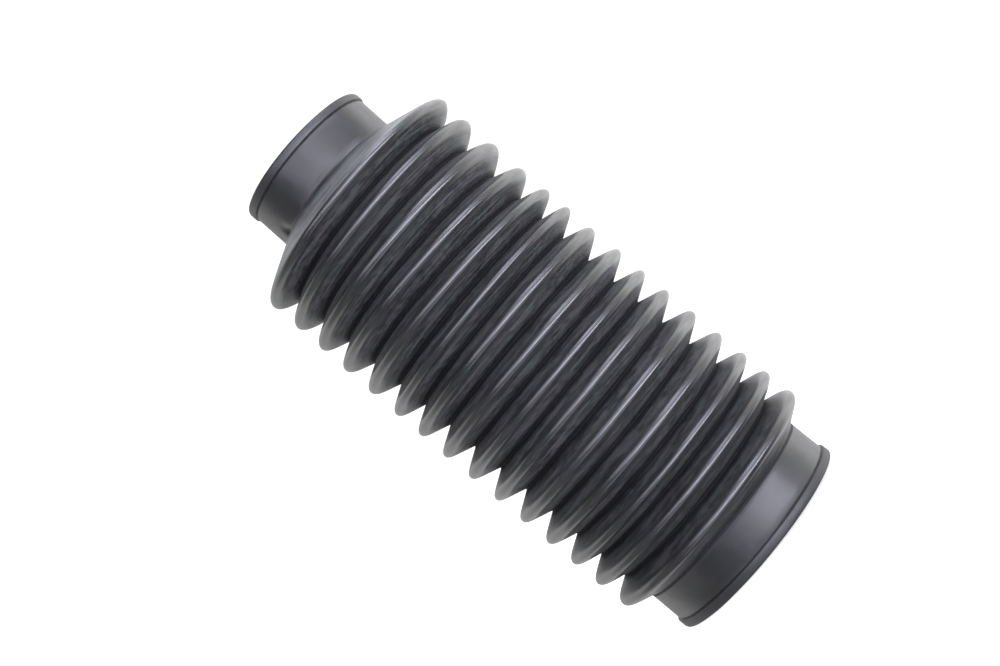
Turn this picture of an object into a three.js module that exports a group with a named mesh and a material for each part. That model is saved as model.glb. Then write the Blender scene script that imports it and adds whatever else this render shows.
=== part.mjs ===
// A motorcycle fork gaiter: a one-piece moulded rubber bellows that keeps grit off a fork leg.
// The wide collar grips the top of the fork slider, fifteen folds take up the travel, and the
// narrow collar grips the fork tube. It stands on its wide end, with its axis along +Z and the
// origin at the centre of that end. Lengths are in millimetres.
import * as THREE from "three";

// The row of folds.
const foldCount = 15;
const foldPitch = 8.68;
const crestRadius = 36; // axis to the outside of a fold's crest
const rootRadius = 28.7; // axis to the outside of the valley between two folds
const crestRounding = 1.3; // outside of a crest, in section
const rootRounding = 0.4; // outside of a valley, in section
const innerCrestRounding = 0.4; // inside of a crest, in section
const foldWall = 1.5;

// The wide collar at the bottom, with a raised lip round its open end.
const wideBore = 55;
const wideWall = 1.8;
const wideReach = 16.6; // open end to the nearest crest
const wideLipWidth = 2.6;
const wideLipHeight = 0.6;

// The narrow collar at the top, with its own lip.
const narrowBore = 38;
const narrowWall = 2.2;
const narrowReach = 21.18;
const narrowLipWidth = 2.5;
const narrowLipHeight = 0.5;

// Small edges that both collars share.
const lipRounding = 0.6; // outer edge of an open end
const lipStep = 0.25; // slope where a lip drops to its collar
const mouthChamfer = 0.4; // inner edge of an open end
const neckFillet = 1; // where a collar runs into the nearest fold

// How finely the curves are cut.
const turnSteps = 32;
const crestSteps = 3;
const rootSteps = 1;
const innerCrestSteps = 1;
const innerRootSteps = 2;
const filletSteps = 2;
const lipSteps = 2;

const rubberColour = 0x26272a;
const rubberRoughness = 0.45;

// Centres of the section's arcs, and the lean of the straight flank that joins two of them.
const crestCentreRadius = crestRadius - crestRounding;
const rootCentreRadius = rootRadius + rootRounding;
const flankLean = leanOfFlank();
const arcHalf = Math.PI / 2 - flankLean; // half of the angle that a crest or valley turns through
const outerApexRadius = crestCentreRadius + crestRounding / Math.sin(flankLean);
const innerApexRadius = outerApexRadius - foldWall / Math.sin(flankLean);
const innerCrestCentreRadius = innerApexRadius - innerCrestRounding / Math.sin(flankLean);

const firstCrest = wideReach;
const lastCrest = firstCrest + (foldCount - 1) * foldPitch;
const totalLength = lastCrest + narrowReach;

// The angle between a flank and the plane of its fold: the line that touches the crest's circle on
// one side and the valley's circle on the other.
function leanOfFlank() {
  const along = foldPitch / 2;
  const across = crestCentreRadius - rootCentreRadius;
  return Math.atan2(along, across) - Math.asin((crestRounding + rootRounding) / Math.hypot(along, across));
}

// Points of an arc in the section, with x as the distance from the axis and y as the height.
function arc(x, y, radius, from, to, steps) {
  const points = [];
  for (let i = 0; i <= steps; i += 1) {
    const angle = from + ((to - from) * i) / steps;
    points.push(new THREE.Vector2(x + radius * Math.cos(angle), y + radius * Math.sin(angle)));
  }
  return points;
}

// How far from its crest plane a flank is when it comes down to a radius.
function flankOffset(apexRadius, radius) {
  return (apexRadius - radius) * Math.tan(flankLean);
}

// One collar's outside, from its open end to the fillet at the nearest fold, as if it stood on the
// plane y = 0 and opened downwards.
function collarOutside(bore, wall, reach, lipWidth, lipHeight) {
  const radius = bore / 2 + wall;
  const lipRadius = radius + lipHeight;
  const corner = reach - flankOffset(outerApexRadius, radius);
  const tangent = neckFillet * Math.tan(arcHalf / 2);
  return [
    ...arc(lipRadius - lipRounding, lipRounding, lipRounding, -Math.PI / 2, 0, lipSteps),
    new THREE.Vector2(lipRadius, lipWidth - lipStep),
    new THREE.Vector2(radius, lipWidth),
    ...arc(radius + neckFillet, corner - tangent, neckFillet, Math.PI, Math.PI - arcHalf, filletSteps),
  ];
}

// The same collar's inside, from the nearest fold's inner flank back down to the open end.
function collarInside(bore, reach) {
  const radius = bore / 2;
  return [
    new THREE.Vector2(radius, reach - flankOffset(innerApexRadius, radius)),
    new THREE.Vector2(radius, mouthChamfer),
    new THREE.Vector2(radius + mouthChamfer, 0),
  ];
}

// The outside of the folds, going up.
function foldsOutside() {
  const points = [];
  for (let i = 0; i < foldCount; i += 1) {
    const crest = firstCrest + i * foldPitch;
    points.push(...arc(crestCentreRadius, crest, crestRounding, -arcHalf, arcHalf, crestSteps));
    if (i < foldCount - 1) {
      const root = crest + foldPitch / 2;
      points.push(...arc(rootCentreRadius, root, -rootRounding, arcHalf, -arcHalf, rootSteps));
    }
  }
  return points;
}

// The inside of the folds, going down, one wall thickness in from the outside.
function foldsInside() {
  const points = [];
  for (let i = foldCount - 1; i >= 0; i -= 1) {
    const crest = firstCrest + i * foldPitch;
    points.push(...arc(innerCrestCentreRadius, crest, innerCrestRounding, arcHalf, -arcHalf, innerCrestSteps));
    if (i > 0) {
      const root = crest - foldPitch / 2;
      points.push(...arc(rootCentreRadius, root, -rootRounding - foldWall, -arcHalf, arcHalf, innerRootSteps));
    }
  }
  return points;
}

// Turns a collar's outline end for end, so that it opens upwards at the top of the gaiter.
function turnedOver(points) {
  return points.map((p) => new THREE.Vector2(p.x, totalLength - p.y)).reverse();
}

// The closed section of the whole moulding: up the outside, across the top and down the inside.
function gaiterSection() {
  const outline = [
    ...collarOutside(wideBore, wideWall, wideReach, wideLipWidth, wideLipHeight),
    ...foldsOutside(),
    ...turnedOver(collarOutside(narrowBore, narrowWall, narrowReach, narrowLipWidth, narrowLipHeight)),
    ...turnedOver(collarInside(narrowBore, narrowReach)),
    ...foldsInside(),
    ...collarInside(wideBore, wideReach),
  ];
  return [...outline, outline[0].clone()];
}

function rubberGaiter() {
  const geometry = new THREE.LatheGeometry(gaiterSection(), turnSteps);
  const material = new THREE.MeshStandardMaterial({
    color: rubberColour,
    roughness: rubberRoughness,
    metalness: 0,
  });
  const mesh = new THREE.Mesh(geometry, material);
  mesh.name = "rubber_gaiter";
  mesh.rotation.x = Math.PI / 2; // the lathe turns about Y, and the gaiter stands along Z
  return mesh;
}

const gaiter = new THREE.Group();
gaiter.add(rubberGaiter());

export default gaiter;
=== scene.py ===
import math

import bmesh
import bpy
from mathutils import Matrix, Vector, noise


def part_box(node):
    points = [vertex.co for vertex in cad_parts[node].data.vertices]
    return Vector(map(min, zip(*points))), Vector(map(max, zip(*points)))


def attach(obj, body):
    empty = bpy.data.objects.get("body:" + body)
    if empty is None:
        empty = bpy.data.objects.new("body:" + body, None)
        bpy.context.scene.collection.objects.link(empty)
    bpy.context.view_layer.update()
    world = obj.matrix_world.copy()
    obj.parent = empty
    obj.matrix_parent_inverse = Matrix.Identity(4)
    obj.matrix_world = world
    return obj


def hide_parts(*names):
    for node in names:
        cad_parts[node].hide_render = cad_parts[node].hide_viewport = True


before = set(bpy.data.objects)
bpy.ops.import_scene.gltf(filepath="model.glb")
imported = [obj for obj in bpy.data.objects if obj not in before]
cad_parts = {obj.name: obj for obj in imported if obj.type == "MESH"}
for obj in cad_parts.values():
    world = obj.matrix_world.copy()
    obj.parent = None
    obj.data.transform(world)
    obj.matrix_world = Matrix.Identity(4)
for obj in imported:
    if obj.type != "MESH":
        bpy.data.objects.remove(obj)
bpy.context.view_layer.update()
print("frame loaded, nodes:", sorted(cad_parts))

mm = 0.001
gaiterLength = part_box("rubber_gaiter")[1].z / mm  # in millimetres, as every size of the gaiter below
coolWhite = (0.84, 0.85, 1.0)
plainWhite = (1.0, 1.0, 1.0)


# The camera is level with the middle folds and rolled, so the upright gaiter lies slanted in the picture.
view = {
    "distance": 393.8,
    "height": 67.8,
    "side": -1.85,
    "aimHeight": 88.1,
    "aimSide": -2.49,
    "axisSlope": 40.2,  # degrees the gaiter's axis falls to the right in the picture
    "focalLength": 52.9,
    "sensor": 36.0,
    "nearest": 10,
    "farthest": 50000,
}


def addCamera():
    data = bpy.data.cameras.new("camera")
    data.lens = view["focalLength"]
    data.sensor_width = view["sensor"]
    data.sensor_fit = "HORIZONTAL"
    data.clip_start = view["nearest"] * mm
    data.clip_end = view["farthest"] * mm
    camera = bpy.data.objects.new("camera", data)
    bpy.context.scene.collection.objects.link(camera)
    place = Vector((view["side"], -view["distance"], view["height"])) * mm
    aim = Vector((view["aimSide"], 0, view["aimHeight"])) * mm
    level = (aim - place).to_track_quat("-Z", "Y").to_matrix()
    roll = Matrix.Rotation(math.radians(view["axisSlope"] - 90), 3, "Z")
    camera.matrix_world = Matrix.Translation(place) @ (level @ roll).to_4x4()
    bpy.context.scene.camera = camera


addCamera()
print("camera set")


# The moulding's section. Each corner is a distance from the axis, a height and how far it is rounded back.
shape = {
    "folds": 15,
    "pitch": 8.68,
    "firstCrest": 16.6,
    "crestRadius": 36.0,
    "rootRadius": 28.7,
    "shoulderDrop": 1.9,  # where the blunt top of a fold turns into its flank, below the crest
    "shoulderHalf": 1.88,
    "crestLean": 30.0,  # degrees, of the blunt top
    "crestRounding": 3.1,
    "shoulderRounding": 0.8,
    "rootRounding": 0.5,
    "wall": 1.5,
    "innerCrestRounding": 0.6,
    "innerRootRadius": 27.2,
    "wideBore": 27.5,
    "wideCollar": 29.3,
    "wideLip": 29.9,
    "wideLipWidth": 2.6,
    "narrowBore": 19.0,
    "narrowCollar": 21.2,
    "narrowLip": 21.7,
    "narrowLipWidth": 2.5,
    "grooveDepth": 0.22,  # the fine line where a lip starts
    "grooveStart": 0.1,
    "grooveWidth": 0.4,
    "grooveRounding": 0.08,
    "grooveEdgeRounding": 0.15,
    "lipStepRounding": 0.25,
    "lipRounding": 0.6,
    "mouthRounding": 0.4,
    "wideNeckRounding": 0.3,
    "narrowNeckRounding": 0.7,
    "innerNeckRounding": 0.7,
    "turns": 144,
    "longest": 1.6,  # straight stretches of the section are cut shorter than this
    "roundingSteps": 3,  # cuts for each millimetre that a corner is rounded back
    "fewestSteps": 2,
    "mostSteps": 7,
    "mergeDistance": 0.001,
}

# How the soft moulding strays from its true form, in millimetres.
softness = {
    "bow": 1.15,  # the middle stands this far to the left of the ends
    "foldShift": 2.4,  # up or down, from fold to fold
    "shiftPattern": (11.0, 15.0),  # where each stray is read from the noise
    "sideTilt": 0.1,  # how far the folds lean to one side, for each millimetre across
    "sidePattern": (42.0, 28.5),
    "sideWave": 30.0,
    "frontTilt": 0.048,
    "frontPattern": (49.2, 47.9),
    "frontWave": 16.0,
    "dent": 0.16,
    "dentWave": 9.0,
    "pinch": 1.1,  # a small fault in the moulding, where the narrow collar meets the folds
    "pinchPlace": (-17.9, -11.2, 146.3),
    "pinchSpread": 1.5,
}


def foldLean():
    run = shape["crestRadius"] - shape["shoulderDrop"] - shape["rootRadius"]
    return math.atan2(shape["pitch"] / 2 - shape["shoulderHalf"], run)


def flankHalf(radius):
    # half the thickness of a fold at a distance from the axis, below its shoulder
    drop = shape["crestRadius"] - shape["shoulderDrop"] - radius
    return shape["shoulderHalf"] + drop * math.tan(foldLean())


def roundedCut(rounding, lean):
    # how far a bevel of profile 0.5 draws back a corner with this lean on both sides
    return (2 - math.sqrt(2)) * rounding * math.cos(lean)


def outerCorners():
    s = shape
    crestLean = math.radians(s["crestLean"])
    rootCut = roundedCut(s["rootRounding"], foldLean())
    corners = []
    corners.append((s["wideBore"], 0, s["mouthRounding"]))
    corners.append((s["wideLip"], 0, s["lipRounding"]))
    corners.append((s["wideLip"], s["wideLipWidth"], s["lipStepRounding"]))
    groove = s["wideCollar"] - s["grooveDepth"]
    corners.append((groove, s["wideLipWidth"] + s["grooveStart"], s["grooveRounding"]))
    corners.append((s["wideCollar"], s["wideLipWidth"] + s["grooveWidth"], s["grooveEdgeRounding"]))
    corners.append((s["wideCollar"], s["firstCrest"] - flankHalf(s["wideCollar"]), s["wideNeckRounding"]))
    for i in range(s["folds"]):
        crest = s["firstCrest"] + i * s["pitch"]
        shoulder = s["crestRadius"] - s["shoulderDrop"]
        corners.append((shoulder, crest - s["shoulderHalf"], s["shoulderRounding"]))
        apex = s["crestRadius"] + roundedCut(s["crestRounding"], crestLean)
        corners.append((apex, crest, s["crestRounding"]))
        corners.append((shoulder, crest + s["shoulderHalf"], s["shoulderRounding"]))
        if i < s["folds"] - 1:
            corners.append((s["rootRadius"] - rootCut, crest + s["pitch"] / 2, s["rootRounding"]))
    lastCrest = s["firstCrest"] + (s["folds"] - 1) * s["pitch"]
    lipStart = gaiterLength - s["narrowLipWidth"]
    corners.append((s["narrowCollar"], lastCrest + flankHalf(s["narrowCollar"]), s["narrowNeckRounding"]))
    corners.append((s["narrowCollar"], lipStart - s["grooveWidth"], s["grooveEdgeRounding"]))
    groove = s["narrowCollar"] - s["grooveDepth"]
    corners.append((groove, lipStart - s["grooveStart"], s["grooveRounding"]))
    corners.append((s["narrowLip"], lipStart, s["lipStepRounding"]))
    corners.append((s["narrowLip"], gaiterLength, s["lipRounding"]))
    corners.append((s["narrowBore"], gaiterLength, s["mouthRounding"]))
    return corners


def innerCorners():
    s = shape
    lean = foldLean()
    sharpCrest = s["crestRadius"] - s["shoulderDrop"] + s["shoulderHalf"] / math.tan(lean)
    sharpCrest -= s["wall"] / math.sin(lean)
    sharpRoot = sharpCrest - s["pitch"] / 2 / math.tan(lean)
    rootRounding = (s["innerRootRadius"] - sharpRoot) / roundedCut(1, lean)
    lastCrest = s["firstCrest"] + (s["folds"] - 1) * s["pitch"]
    corners = []
    neck = lastCrest + (sharpCrest - s["narrowBore"]) * math.tan(lean)
    corners.append((s["narrowBore"], neck, s["innerNeckRounding"]))
    for i in reversed(range(s["folds"])):
        crest = s["firstCrest"] + i * s["pitch"]
        corners.append((sharpCrest, crest, s["innerCrestRounding"]))
        if i > 0:
            corners.append((sharpRoot, crest - s["pitch"] / 2, rootRounding))
    neck = s["firstCrest"] - (sharpCrest - s["wideBore"]) * math.tan(lean)
    corners.append((s["wideBore"], neck, s["innerNeckRounding"]))
    return corners


def makeSection(bm):
    corners = outerCorners() + innerCorners()
    verts = [bm.verts.new((radius, 0, height)) for radius, height, rounding in corners]
    for a, b in zip(verts, verts[1:] + verts[:1]):
        bm.edges.new((a, b))
    groups = {}  # corners of one rounding are bevelled together
    for vert, (radius, height, rounding) in zip(verts, corners):
        groups.setdefault(round(rounding, 3), []).append(vert)
    for rounding, group in sorted(groups.items()):
        steps = round(rounding * shape["roundingSteps"])
        bmesh.ops.bevel(
            bm,
            geom=group,
            offset=rounding,
            offset_type="OFFSET",
            affect="VERTICES",
            segments=max(shape["fewestSteps"], min(shape["mostSteps"], steps)),
            profile=0.5,
            material=-1,
        )
    long = [e for e in bm.edges if e.calc_length() > shape["longest"]]
    for edge in long:
        cuts = math.ceil(edge.calc_length() / shape["longest"]) - 1
        bmesh.ops.subdivide_edges(bm, edges=[edge], cuts=cuts)


def soften(bm):
    s = softness
    top = gaiterLength
    # the bow tilts the open end, which is lifted to stay on the floor
    baseLift = s["bow"] * math.pi / top * shape["wideLip"]
    for vert in bm.verts:
        x, y, z = vert.co
        loose = math.sin(math.pi * min(max(z / top, 0), 1)) ** 0.5  # nothing at the ends, 1 in the middle
        lift = s["foldShift"] * noise.noise((*s["shiftPattern"], z / s["sideWave"]))
        lift += s["sideTilt"] * x * noise.noise((*s["sidePattern"], z / s["sideWave"]))
        lift += s["frontTilt"] * y * noise.noise((*s["frontPattern"], z / s["frontWave"]))
        push = s["dent"] * noise.noise(vert.co / s["dentWave"])
        fromPinch = (vert.co - Vector(s["pinchPlace"])).length / s["pinchSpread"]
        push -= s["pinch"] * math.exp(-(fromPinch ** 2))
        out = Vector((x, y, 0)).normalized() * push
        bow = -s["bow"] * math.sin(math.pi * z / top)
        tilt = -s["bow"] * math.pi / top * math.cos(math.pi * z / top)
        z += lift * loose + baseLift
        vert.co = (x + out.x + bow, y + out.y, z - x * tilt)


def makeGaiter():
    bm = bmesh.new()
    makeSection(bm)
    print("section points:", len(bm.verts), "turns:", shape["turns"])
    bmesh.ops.spin(
        bm,
        geom=bm.verts[:] + bm.edges[:],
        cent=(0, 0, 0),
        axis=(0, 0, 1),
        dvec=(0, 0, 0),
        angle=math.radians(360),
        steps=shape["turns"],
        use_merge=True,
        use_duplicate=False,
    )
    bmesh.ops.remove_doubles(bm, verts=bm.verts, dist=shape["mergeDistance"])
    soften(bm)
    bmesh.ops.recalc_face_normals(bm, faces=bm.faces)
    bmesh.ops.scale(bm, vec=(mm, mm, mm), verts=bm.verts)
    for face in bm.faces:
        face.smooth = True
    mesh = bpy.data.meshes.new("rubber_bellows")
    bm.to_mesh(mesh)
    bm.free()
    piece = bpy.data.objects.new("rubber_bellows", mesh)
    bpy.context.scene.collection.objects.link(piece)
    print("bellows faces:", len(mesh.polygons))
    return piece


bellows = makeGaiter()


# Shader maths: a wire is one output socket, and an expression on wires adds its Math nodes. The first wire
# of a tree has no socket and only makes nodes.
class Wire:
    def __init__(self, tree, socket=None):
        self.tree = tree
        self.socket = socket

    def node(self, kind, settings, values, out=0):
        made = self.tree.nodes.new(kind)
        for name, value in settings.items():
            if name == "stops":
                ramp = made.color_ramp.elements
                while len(ramp) < len(value):
                    ramp.new(0.5)
                for stop, (place, colour) in zip(ramp, value):
                    stop.position = place
                    stop.color = colour
            else:
                setattr(made, name, value)
        for name, value in values.items():
            if isinstance(value, Wire):
                self.tree.links.new(value.socket, made.inputs[name])
            else:
                made.inputs[name].default_value = value
        return Wire(self.tree, made.outputs[out])

    def maths(self, operation, a, b=0.0):
        return self.node("ShaderNodeMath", {"operation": operation}, {0: a, 1: b})

    def __add__(self, other):
        return self.maths("ADD", self, other)

    def __radd__(self, other):
        return self.maths("ADD", other, self)

    def __sub__(self, other):
        return self.maths("SUBTRACT", self, other)

    def __rsub__(self, other):
        return self.maths("SUBTRACT", other, self)

    def __mul__(self, other):
        return self.maths("MULTIPLY", self, other)

    def __rmul__(self, other):
        return self.maths("MULTIPLY", other, self)

    def __truediv__(self, other):
        return self.maths("DIVIDE", self, other)

    def __rtruediv__(self, other):
        return self.maths("DIVIDE", other, self)


# The rubber's finish. Bands of radius and height are in millimetres, and colours and roughness are the
# shader's own. A pattern is its noise's scale per metre, detail and roughness.
rubber = {
    "crestBand": (33.4, 35.6),
    # where the valleys' painted shade lies
    "valleyBand": (28.9, 31.2),
    "valleyHeights": (17.0, 19.0, 135.5, 137.5),  # valleys lie between the end folds' crests
    "foldBand": (12.0, 15.0),  # how far from the open ends the folds start
    "lipBand": (2.6, 3.0),  # how far from the open ends the lips stop
    "neckBand": (22.0, 28.0),
    "neckHeight": (138.5, 140.5),
    "creaseShade": (0.15, 0.7),  # painted shade: the dark line where the wide collar meets the folds, half its width
    "clean": 0.0075,  # how pale the rubber is where it has no bloom
    "bloom": (0.008, 0.05),  # on the folds, least and most
    "crestRub": 0.85,  # the share of the bloom that is rubbed off the crests
    "lowBloom": 0.62,  # the share of the bloom that the folds near the wide collar have
    "lowFolds": (10.0, 55.0),
    "neckPaintedLight": 0.048,  # painted light: a pale band on the flank next to the narrow collar, as if lit from that end
    "neckLightEven": 0.75,  # the share of that painted light that is even, and how much the streaks add
    "neckLightStreaks": 0.5,
    "coverShares": (0.6, 0.4),  # how much the streaks and the mottle count in where the bloom lies
    "coverBand": (0.39, 0.61),
    "patchBand": (0.5, 0.72),
    "patchBloom": 0.009,  # on the collars
    "casts": (
        (0.36, (0.86, 1.05, 1.04, 1)),
        (0.5, (0.98, 1.01, 1.03, 1)),
        (0.64, (1.08, 0.965, 1.08, 1)),
    ),
    # painted shade: the valleys and the crease get this darker colour, in a duller shader, in place of their
    # shade
    "valleyShadeColour": (0.007, 0.007, 0.008, 1),
    "collarRoughness": 0.39,
    "narrowLipRoughness": 0.5,
    "wideLipRoughness": 0.55,
    "flankRoughness": 0.5,
    "crestRoughness": 0.3,
    "valleyRoughness": 0.8,
    "mottleWear": 0.16,  # how far the mottle and the patches change the roughness
    "patchWear": 0.2,
    "creaseShadeShare": 0.8,  # the share of the valleys' painted shade that the crease has
    "collarMatt": 0.15,
    "wideLipMatt": 0.1,
    "bumpMottle": 0.8,
    "bumpDistance": 0.00004,  # metres
    "bumpStrength": 0.35,
    "skinIor": 1.8,
    "valleyIor": 1.3,
    "sheen": 0.02,
    "sheenRoughness": 0.3,
    "streaks": (1100.0, 2.0, 0.6),
    "streakStretch": 0.08,  # streaks run round the gaiter, where their pattern changes this much slower
    "mottle": (420.0, 4.0, 0.72),
    "patches": (70.0, 2.0, 0.55),
    "tints": (130.0, 3.0, 0.6),
    "grain": (2600.0, 2.0, 0.55),
    "noiseMiddle": 0.5,
}


def rise(value, low, high):
    # 0 below low and 1 above high, with a smooth step between
    return value.node(
        "ShaderNodeMapRange",
        {"interpolation_type": "SMOOTHSTEP"},
        {"Value": value, "From Min": low, "From Max": high, "To Min": 0.0, "To Max": 1.0},
        "Result",
    )


def speckle(vector, scale, detail, roughness):
    return vector.node(
        "ShaderNodeTexNoise",
        {"noise_dimensions": "3D"},
        {"Vector": vector, "Scale": scale, "Detail": detail, "Roughness": roughness},
        "Fac",
    )


def blackRubber():
    r = rubber
    material = bpy.data.materials.new("black_rubber")
    material.use_nodes = True
    tree = material.node_tree
    tree.nodes.clear()
    start = Wire(tree)
    place = start.node("ShaderNodeTexCoord", {}, {}, "Object")
    x, y, z = [start.node("ShaderNodeSeparateXYZ", {}, {"Vector": place}, axis) for axis in "XYZ"]

    # the radius and the height without the bow
    angle = z * (math.pi / gaiterLength / mm)
    middle = x + start.maths("SINE", angle) * (softness["bow"] * mm)
    radius = start.maths("SQRT", middle * middle + y * y) / mm
    lean = softness["bow"] * math.pi / gaiterLength
    height = z / mm - lean * (shape["wideLip"] + start.maths("COSINE", angle) * x / mm)

    crest = rise(radius, *r["crestBand"])
    fromEnd = start.maths("MINIMUM", height, gaiterLength - height)
    folds = rise(fromEnd, *r["foldBand"])
    wideLip = 1 - rise(height, *r["lipBand"])
    narrowLip = 1 - rise(gaiterLength - height, *r["lipBand"])
    low, lowEnd, high, highEnd = r["valleyHeights"]
    # painted shade: the valleys between the folds are darkened and dulled, standing in for their shade
    shadedRadius = 1 - rise(radius, *r["valleyBand"])
    valleyShade = rise(height, low, lowEnd) * (1 - rise(height, high, highEnd)) * shadedRadius
    # painted shade: a thin dark line where the wide collar meets the folds
    neckCorner = shape["firstCrest"] - flankHalf(shape["wideCollar"])
    offCorner = start.maths("ABSOLUTE", height - neckCorner)
    creaseShade = (1 - rise(offCorner, *r["creaseShade"])) * shadedRadius
    # painted light: the flank next to the narrow collar is made paler, as if lit from that end
    neck = rise(height, *r["neckHeight"]) * rise(radius, *r["neckBand"])

    slow = r["streakStretch"]
    ring = start.node("ShaderNodeCombineXYZ", {}, {"X": x * slow, "Y": y * slow, "Z": z + radius * mm})
    streaks = speckle(ring, *r["streaks"])
    mottle = speckle(place, *r["mottle"])
    patches = speckle(place, *r["patches"])
    tints = speckle(place, *r["tints"])
    grain = speckle(place, *r["grain"])

    streakShare, mottleShare = r["coverShares"]
    cover = rise(streaks * streakShare + mottle * mottleShare, *r["coverBand"])
    least, most = r["bloom"]
    bloom = least + cover * (most - least)
    bloom = bloom * (r["lowBloom"] + rise(height, *r["lowFolds"]) * (1 - r["lowBloom"]))
    dustAndPaintedLight = folds * (1 - crest * r["crestRub"]) * (bloom - r["clean"])
    dustAndPaintedLight = dustAndPaintedLight + (1 - folds) * rise(patches, *r["patchBand"]) * r["patchBloom"]
    # the painted light on the flank next to the narrow collar
    dustAndPaintedLight = dustAndPaintedLight + neck * (r["neckLightEven"] + cover * r["neckLightStreaks"]) * r["neckPaintedLight"]
    cast = start.node("ShaderNodeValToRGB", {"stops": r["casts"]}, {"Fac": tints}, "Color")
    colour = start.node(
        "ShaderNodeVectorMath", {"operation": "SCALE"}, {"Vector": cast, "Scale": dustAndPaintedLight + r["clean"]}, "Vector"
    )

    wear = (mottle - r["noiseMiddle"]) * (1 - crest) * r["mottleWear"]
    wear = wear + (patches - r["noiseMiddle"]) * r["patchWear"]
    rough = r["collarRoughness"] + folds * (r["flankRoughness"] - r["collarRoughness"])
    rough = rough + crest * (r["crestRoughness"] - r["flankRoughness"]) + wear
    rough = rough + wideLip * (r["wideLipRoughness"] - r["collarRoughness"])
    rough = rough + narrowLip * (r["narrowLipRoughness"] - r["collarRoughness"])

    bump = start.node(
        "ShaderNodeBump",
        {},
        {
            "Height": grain + mottle * r["bumpMottle"],
            "Distance": r["bumpDistance"],
            "Strength": r["bumpStrength"],
        },
        "Normal",
    )
    skin = start.node(
        "ShaderNodeBsdfPrincipled",
        {},
        {
            "Base Color": colour,
            "Roughness": rough,
            "IOR": r["skinIor"],
            "Normal": bump,
            "Sheen Weight": r["sheen"],
            "Sheen Roughness": r["sheenRoughness"],
        },
        "BSDF",
    )
    # a darker, duller shader: painted shade in the valleys and the crease, and a matt look on the collars and
    # the wide lip
    shadeAndMattShader = start.node(
        "ShaderNodeBsdfPrincipled",
        {},
        {"Base Color": r["valleyShadeColour"], "Roughness": r["valleyRoughness"], "IOR": r["valleyIor"]},
        "BSDF",
    )
    shadeAndMatt = valleyShade + creaseShade * r["creaseShadeShare"] + (1 - folds) * r["collarMatt"] + wideLip * r["wideLipMatt"]
    shader = start.node("ShaderNodeMixShader", {}, {0: shadeAndMatt, 1: skin, 2: shadeAndMattShader})
    end = tree.nodes.new("ShaderNodeOutputMaterial")
    tree.links.new(shader.socket, end.inputs["Surface"])
    return material


bellows.data.materials.append(blackRubber())
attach(bellows, "root")
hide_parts("rubber_gaiter")
print("bellows dressed")


# The floor, and the white surroundings that shine in the rubber.
studio = {
    "floorSize": 4000,  # millimetres
    "floorColour": (0.9, 0.9, 0.9, 1),
    "floorRoughness": 0.8,
    "floorGlow": 0.75,
    "behind": 1.5,  # how bright the surroundings are behind the gaiter
    "front": 0.05,  # and towards the camera
    "turnBand": (0.0, 0.55),  # where the front turns into the part behind, as a share of the direction
    "rightGlow": 0.45,  # how much brighter they are towards the upper right of the picture
    "rightBlend": 0.2,
    "farFade": 0.8,  # how much darker they get straight behind the gaiter
    "farStart": 0.33,
    "backdrop": 1.2,  # how bright the camera itself sees them
    "wattsPerGlow": 4,
}

# Softboxes round the gaiter. Turn is from the camera's side towards the upper right of the picture, lift is
# upwards and roll is about the light's own beam, all in degrees. Distances and sizes are in millimetres.
lights = {
    "key_light": {
        "turn": 27,
        "lift": -3,
        "roll": -10,
        "distance": 450,
        "size": (740, 145),
        "glow": 5.65,
        "colour": coolWhite,
    },
    "long_light": {
        "turn": 14,
        "lift": 1,
        "roll": -17,
        "distance": 450,
        "size": (1150, 150),
        "glow": 3.5,
        "colour": coolWhite,
    },
    "high_light": {
        "turn": 43,
        "lift": 32,
        "roll": 0,
        "distance": 550,
        "size": (620, 160),
        "glow": 3.55,
        "colour": coolWhite,
    },
    "top_light": {
        "turn": 65,
        "lift": 58,
        "roll": 0,
        "distance": 550,
        "size": (240, 240),
        "glow": 4.7,
        "colour": coolWhite,
    },
    "left_key_light": {
        "turn": -14,
        "lift": 40,
        "roll": 0,
        "distance": 450,
        "size": (440, 100),
        "glow": 3.6,
        "colour": coolWhite,
    },
    "low_light": {
        "turn": -8,
        "lift": -41,
        "roll": 0,
        "distance": 450,
        "size": (600, 110),
        "glow": 2.3,
        "colour": coolWhite,
    },
    "right_light": {
        "turn": 101,
        "lift": 0,
        "roll": 0,
        "distance": 600,
        "size": (640, 700),
        "glow": 0.75,
        "colour": plainWhite,
    },
    "left_light": {
        "turn": -75,
        "lift": 0,
        "roll": 0,
        "distance": 600,
        "size": (400, 700),
        "glow": 0.2,
        "colour": plainWhite,
    },
}


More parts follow.
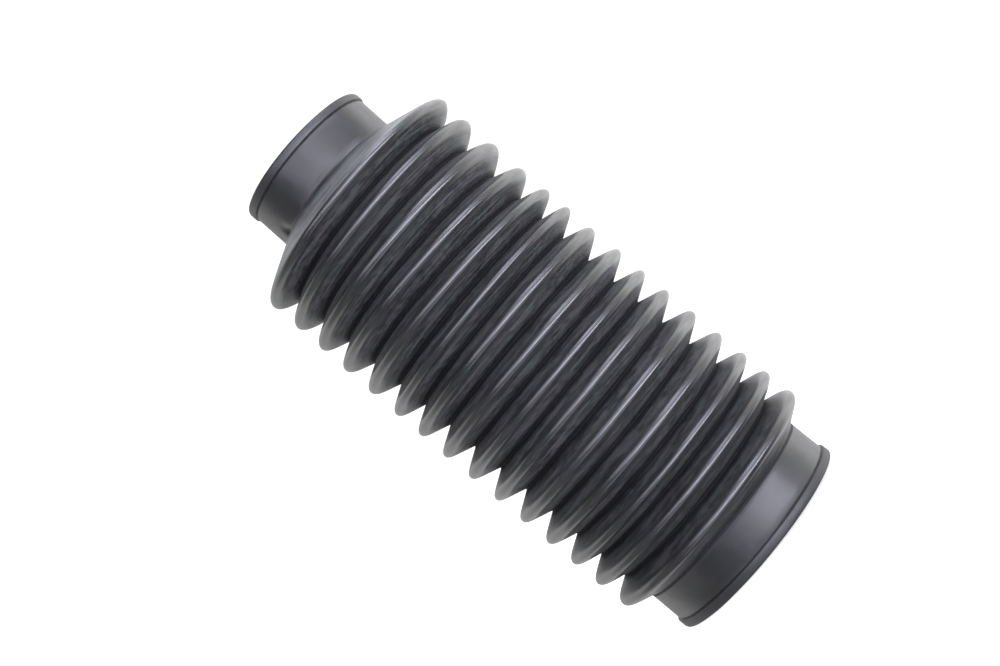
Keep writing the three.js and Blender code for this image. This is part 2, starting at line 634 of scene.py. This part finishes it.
def addFloor():
    bm = bmesh.new()
    bmesh.ops.create_grid(bm, x_segments=1, y_segments=1, size=studio["floorSize"] * mm / 2)
    mesh = bpy.data.meshes.new("floor")
    bm.to_mesh(mesh)
    bm.free()
    floor = bpy.data.objects.new("floor", mesh)
    bpy.context.scene.collection.objects.link(floor)
    material = bpy.data.materials.new("pale_floor")
    material.use_nodes = True
    shader = material.node_tree.nodes["Principled BSDF"]
    shader.inputs["Base Color"].default_value = studio["floorColour"]
    shader.inputs["Roughness"].default_value = studio["floorRoughness"]
    shader.inputs["Emission Color"].default_value = (*plainWhite, 1)
    shader.inputs["Emission Strength"].default_value = studio["floorGlow"]
    mesh.materials.append(material)
    floor.visible_glossy = False  # so the softboxes below the floor's level still shine in the rubber
    floor.visible_shadow = False


def addLight(name, box):
    data = bpy.data.lights.new(name, "AREA")
    data.shape = "RECTANGLE"
    data.size = box["size"][0] * mm
    data.size_y = box["size"][1] * mm
    data.energy = studio["wattsPerGlow"] * box["glow"] * data.size * data.size_y
    data.color = box["colour"]
    light = bpy.data.objects.new(name, data)
    bpy.context.scene.collection.objects.link(light)
    turn = math.radians(box["turn"])
    lift = math.radians(box["lift"])
    away = Vector((math.sin(turn) * math.cos(lift), -math.cos(turn) * math.cos(lift), math.sin(lift)))
    place = away * box["distance"] * mm + Vector((0, 0, gaiterLength / 2)) * mm
    level = away.to_track_quat("Z", "Y").to_matrix()
    roll = Matrix.Rotation(math.radians(box["roll"]), 3, "Z")
    light.matrix_world = Matrix.Translation(place) @ (level @ roll).to_4x4()
    light.visible_camera = False


def addWorld():
    world = bpy.data.worlds.new("studio")
    world.use_nodes = True
    tree = world.node_tree
    tree.nodes.clear()
    start = Wire(tree)
    direction = start.node("ShaderNodeTexCoord", {}, {}, "Generated")
    side, depth = [start.node("ShaderNodeSeparateXYZ", {}, {"Vector": direction}, axis) for axis in "XY"]
    behind = rise(depth, *studio["turnBand"])
    light = studio["front"] + behind * (studio["behind"] - studio["front"])
    right = rise(side, -studio["rightBlend"], studio["rightBlend"]) * studio["rightGlow"]
    far = start.maths("MAXIMUM", depth - studio["farStart"]) * studio["farFade"]
    light = light * (1 + right - far)
    seen = start.node("ShaderNodeLightPath", {}, {}, "Is Camera Ray")
    strength = light * (1 - seen) + seen * studio["backdrop"]
    glow = start.node(
        "ShaderNodeBackground", {}, {"Color": (*plainWhite, 1), "Strength": strength}, "Background"
    )
    end = tree.nodes.new("ShaderNodeOutputWorld")
    tree.links.new(glow.socket, end.inputs["Surface"])
    bpy.context.scene.world = world


addFloor()
for name, box in lights.items():
    addLight(name, box)
addWorld()
bpy.context.scene.view_settings.view_transform = "Standard"
print("studio set")
